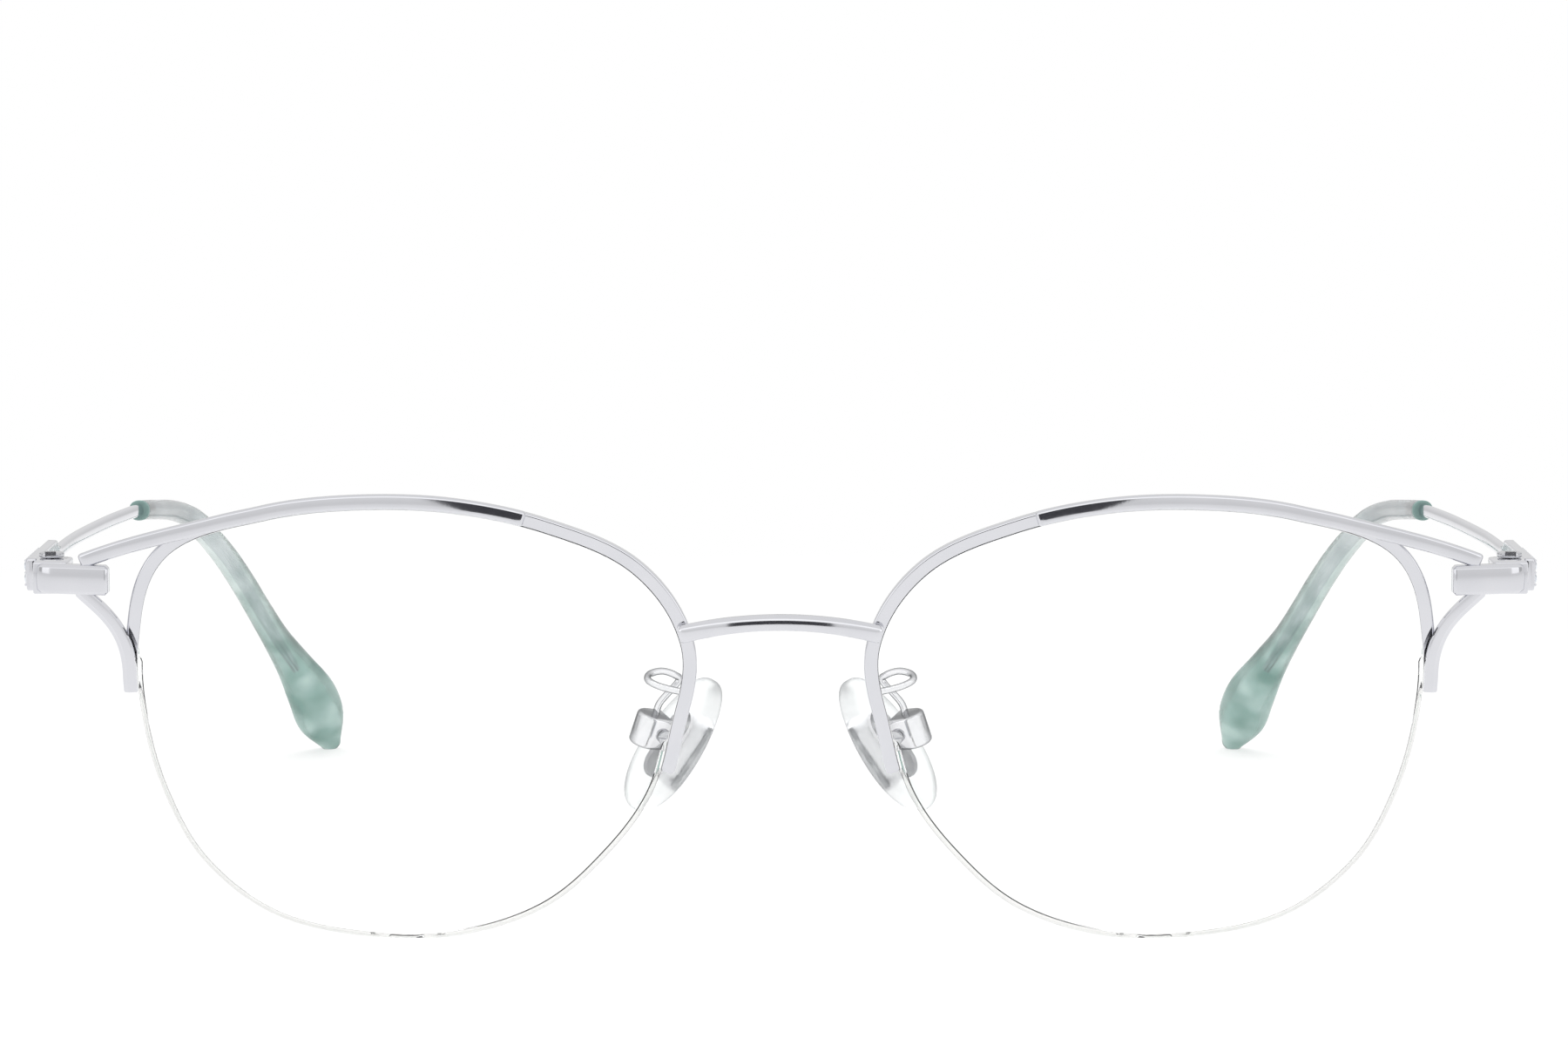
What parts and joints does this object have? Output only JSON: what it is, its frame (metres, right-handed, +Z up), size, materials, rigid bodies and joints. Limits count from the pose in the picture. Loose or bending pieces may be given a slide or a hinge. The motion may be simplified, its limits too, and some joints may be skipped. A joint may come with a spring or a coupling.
{
  "type": "semi-rimless eyeglasses",
  "caption": "Folding eyeglasses with polished metal upper rims, cord-held clear lenses, clear nose pads and translucent green temple tips.",
  "frame": {"origin": "on the surface that the glasses stand on, under the middle of their bounding box", "axes": "+X towards the wearer's left, across the front; +Y back towards the wearer's ears; +Z up"},
  "size_m": [0.1456, 0.1406, 0.0433],
  "materials": {
    "polished_metal": "polished, bright silver",
    "steel": "turned, satin",
    "clear_lens": "clear, optically polished",
    "nylon": "translucent, smooth",
    "silicone": "clear, soft, smooth",
    "teal_plastic": "translucent blue-green, glossy",
    "stones": "small clear faceted stones in a metal strip"
  },
  "bodies": {
    "front": {"bridge": "polished_metal", "right_rim": "polished_metal", "left_rim": "polished_metal", "right_brow_bar": "polished_metal", "left_brow_bar": "polished_metal", "right_lower_arm": "polished_metal", "left_lower_arm": "polished_metal", "right_end_piece": "polished_metal", "left_end_piece": "polished_metal", "right_front_hinge": "polished_metal", "left_front_hinge": "polished_metal", "right_hinge_screw": "steel", "left_hinge_screw": "steel", "right_lens": "clear_lens", "left_lens": "clear_lens", "right_nylon_cord": "nylon", "left_nylon_cord": "nylon", "right_rim_liner": "nylon", "left_rim_liner": "nylon", "right_pad_arm": "polished_metal", "left_pad_arm": "polished_metal", "right_pad_box": "polished_metal", "left_pad_box": "polished_metal", "right_pad_screw": "steel", "left_pad_screw": "steel"},
    "right_temple": {"right_temple": "polished_metal", "right_temple_hinge": "polished_metal", "right_temple_trim": "stones", "right_temple_tip": "teal_plastic"},
    "left_temple": {"left_temple": "polished_metal", "left_temple_hinge": "polished_metal", "left_temple_trim": "stones", "left_temple_tip": "teal_plastic"},
    "right_pad": {"right_nose_pad": "silicone", "right_pad_insert": "steel"},
    "left_pad": {"left_nose_pad": "silicone", "left_pad_insert": "steel"}
  },
  "joints": [
    {"name": "right_temple_fold", "type": "hinge", "parent": "front", "child": "right_temple", "pos_m": [-0.06973, -0.05802, 0.0343], "axis": [0, 0, -1], "range_deg": [0, 81]},
    {"name": "left_temple_fold", "type": "hinge", "parent": "front", "child": "left_temple", "pos_m": [0.06973, -0.05802, 0.0343], "axis": [0, 0, 1], "range_deg": [0, 75]},
    {"name": "right_pad_rock", "type": "hinge", "parent": "front", "child": "right_pad", "pos_m": [-0.01195, -0.06031, 0.01975], "axis": [-0.493, 0.809, 0.3201], "range_deg": [-10, 10]},
    {"name": "left_pad_rock", "type": "hinge", "parent": "front", "child": "left_pad", "pos_m": [0.01195, -0.06031, 0.01975], "axis": [0.493, 0.809, 0.3201], "range_deg": [-10, 10]}
  ]
}
